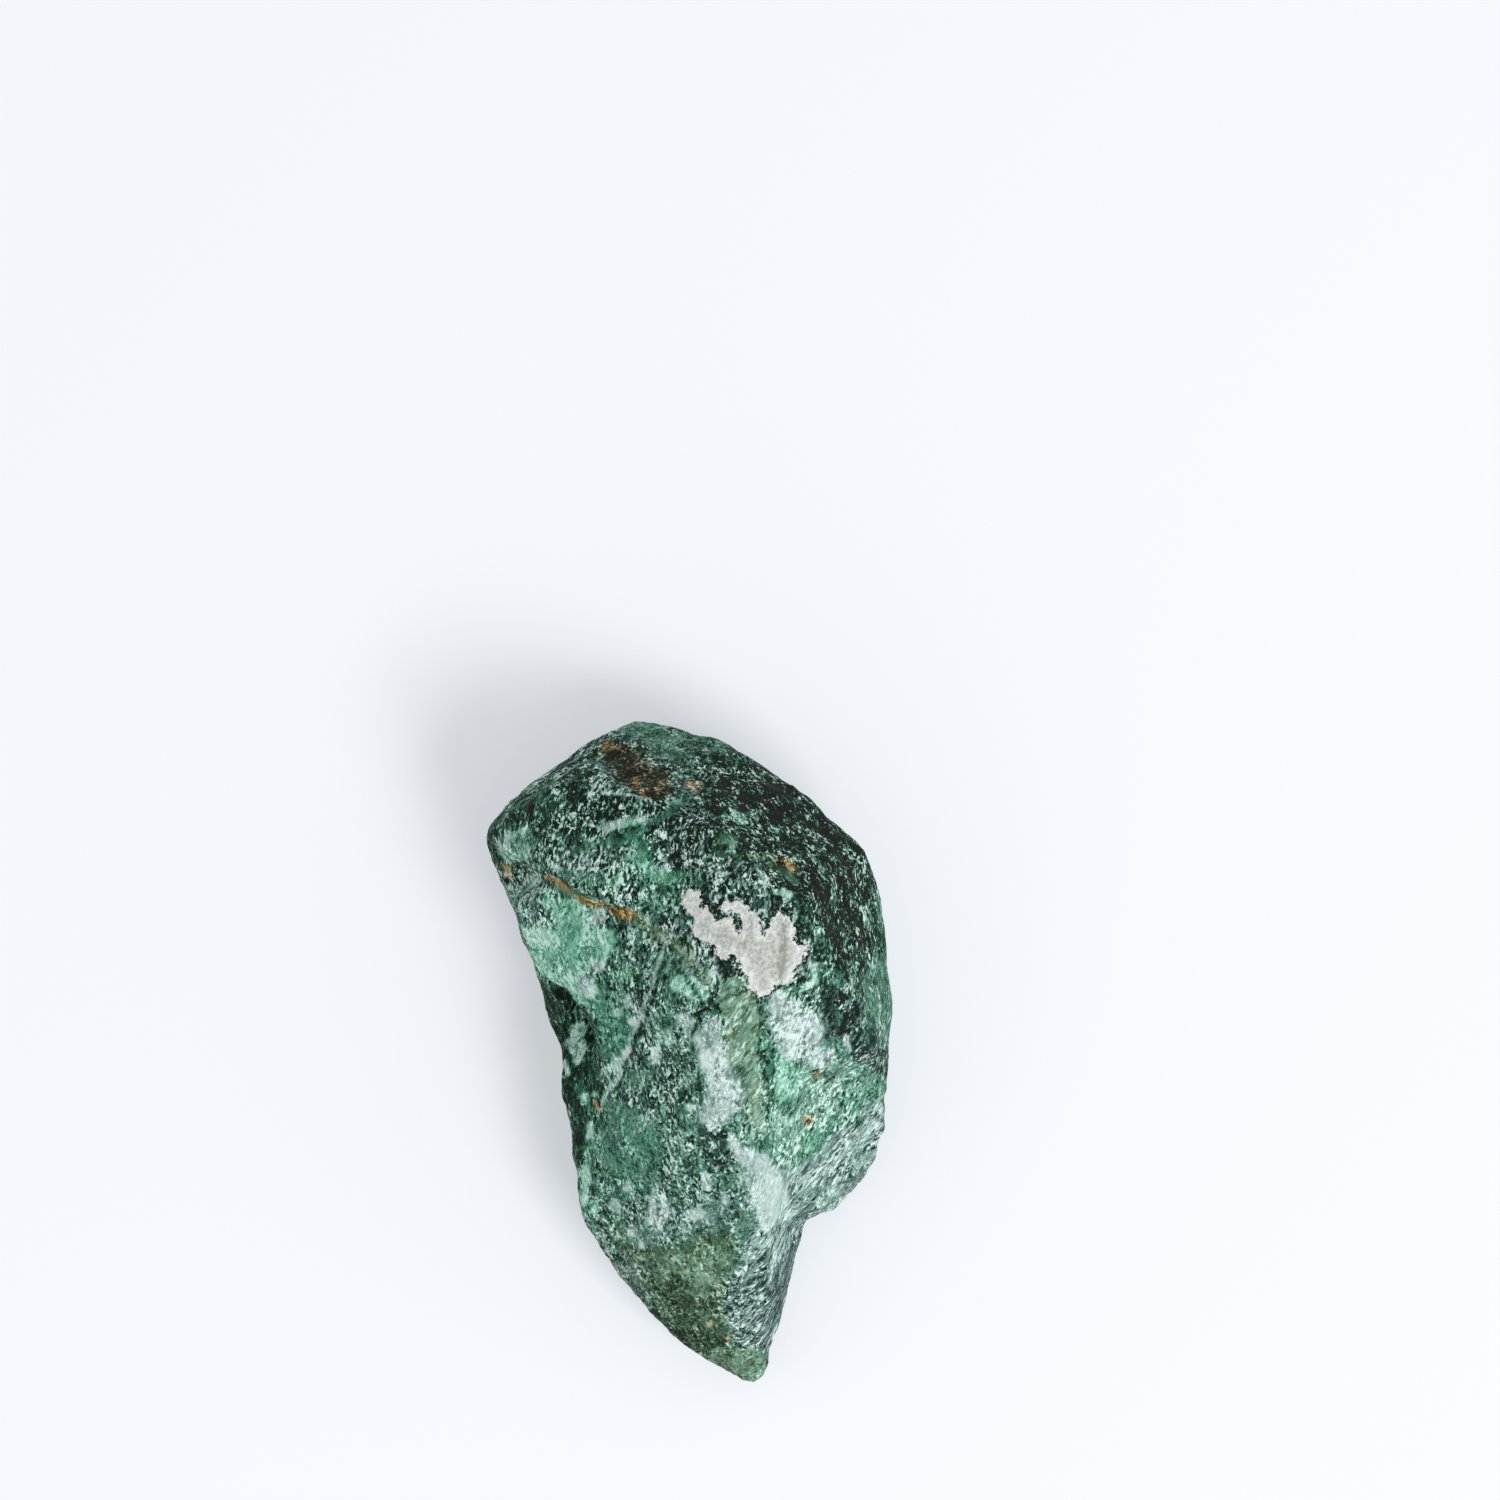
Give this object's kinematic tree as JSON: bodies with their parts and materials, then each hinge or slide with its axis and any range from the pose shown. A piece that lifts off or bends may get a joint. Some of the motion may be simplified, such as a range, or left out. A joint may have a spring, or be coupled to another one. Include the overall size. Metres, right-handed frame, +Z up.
{
  "type": "rough green aventurine stone",
  "caption": "Unpolished, broken lump of green quartz rock with a broad upper mass, an overhanging plate, a low side lobe and a long foot that narrows to a blunt tip.",
  "frame": {"origin": "middle of the bounding box, on the surface that the stone rests on", "axes": "+Y along the stone's length, away from its narrow foot; +X across it, towards the low side lobe; +Z up, out of the broad face that lies uppermost"},
  "size_m": [0.04, 0.066, 0.027],
  "materials": {
    "aventurine": "rough broken rock, matt, with fine dark, green and pale grains and a faint glitter of mica"
  },
  "bodies": {
    "root": {"stone": "aventurine"}
  },
  "joints": []
}
